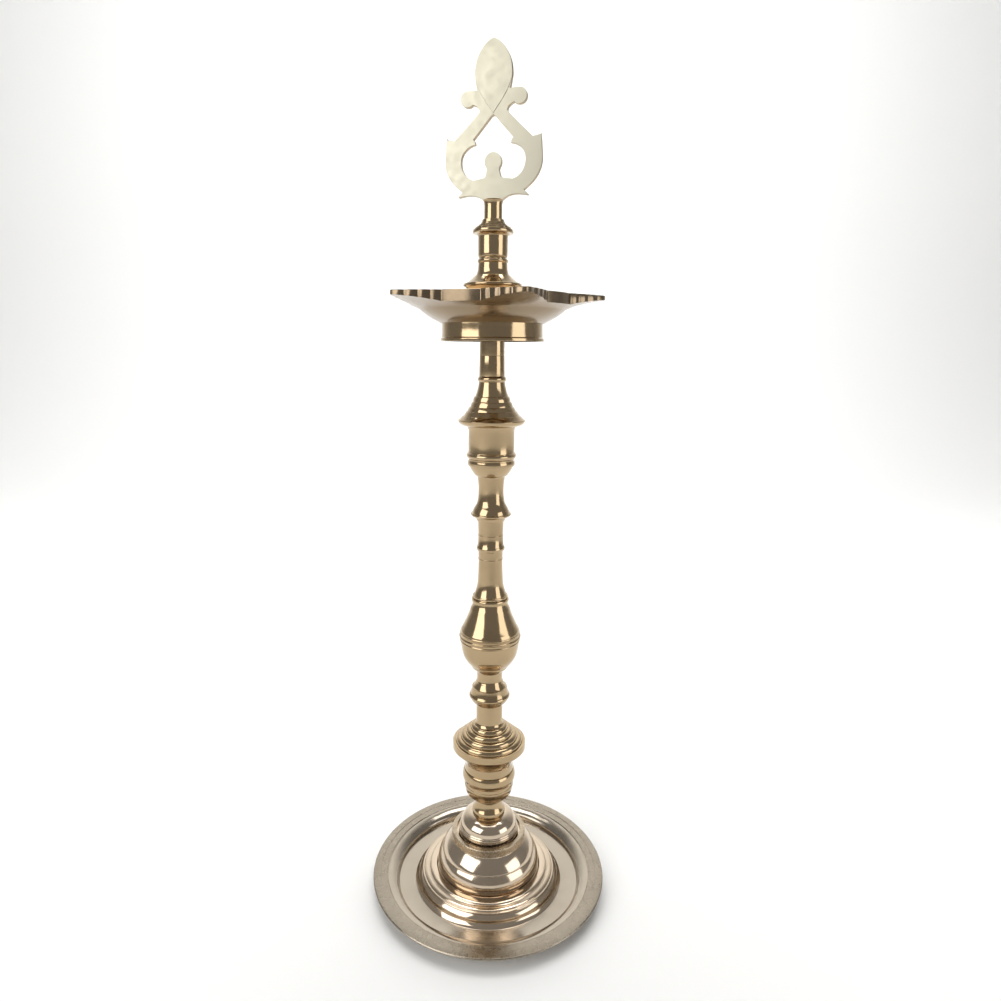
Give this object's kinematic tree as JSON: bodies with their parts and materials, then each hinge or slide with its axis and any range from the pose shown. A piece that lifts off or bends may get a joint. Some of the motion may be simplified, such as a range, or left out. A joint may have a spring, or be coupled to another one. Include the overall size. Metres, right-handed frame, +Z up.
{
  "type": "standing oil lamp",
  "caption": "Standing oil lamp in brass: round tray base with a stepped dome, turned column in screwed sections, dish with wick spouts and a flat cut-out finial.",
  "frame": {"origin": "on the lamp's axis, level with the underside of the foot ring", "axes": "+Z up along the column; -Y faces the viewer"},
  "size_m": [0.16, 0.16, 0.5331],
  "materials": {
    "pale_brass": "polished, pale, with turning lines",
    "warm_brass": "mirror polished, warm golden brown",
    "dark_brass": "satin, darker brown, spun",
    "cream_brass": "brushed pale plate with cut edges",
    "steel": "plain threaded rod, nut and washer"
  },
  "bodies": {
    "base": {"base_tray": "pale_brass", "base_stud": "steel", "base_washer": "steel", "base_nut": "steel"},
    "cap": {"dome_cap": "pale_brass"},
    "lower": {"lower_column": "warm_brass", "lower_stud": "steel"},
    "middle": {"baluster": "warm_brass", "middle_stud": "steel"},
    "upper": {"upper_column": "warm_brass", "dish_stud": "steel"},
    "dish_body": {"dish": "dark_brass"},
    "top": {"top_stem": "warm_brass", "finial": "cream_brass"}
  },
  "joints": [
    {"name": "cap_lift", "type": "slide", "parent": "base", "child": "cap", "axis": [0, 0, 1], "range_m": [0, 0.035]},
    {"name": "lower_unscrew", "type": "slide", "parent": "cap", "child": "lower", "axis": [0, 0, 1], "range_m": [0, 0.025]},
    {"name": "middle_unscrew", "type": "slide", "parent": "lower", "child": "middle", "axis": [0, 0, 1], "range_m": [0, 0.025]},
    {"name": "upper_unscrew", "type": "slide", "parent": "middle", "child": "upper", "axis": [0, 0, 1], "range_m": [0, 0.025]},
    {"name": "dish_lift", "type": "slide", "parent": "upper", "child": "dish_body", "axis": [0, 0, 1], "range_m": [0, 0.05]},
    {"name": "stem_unscrew", "type": "slide", "parent": "dish_body", "child": "top", "axis": [0, 0, 1], "range_m": [0, 0.025]}
  ]
}
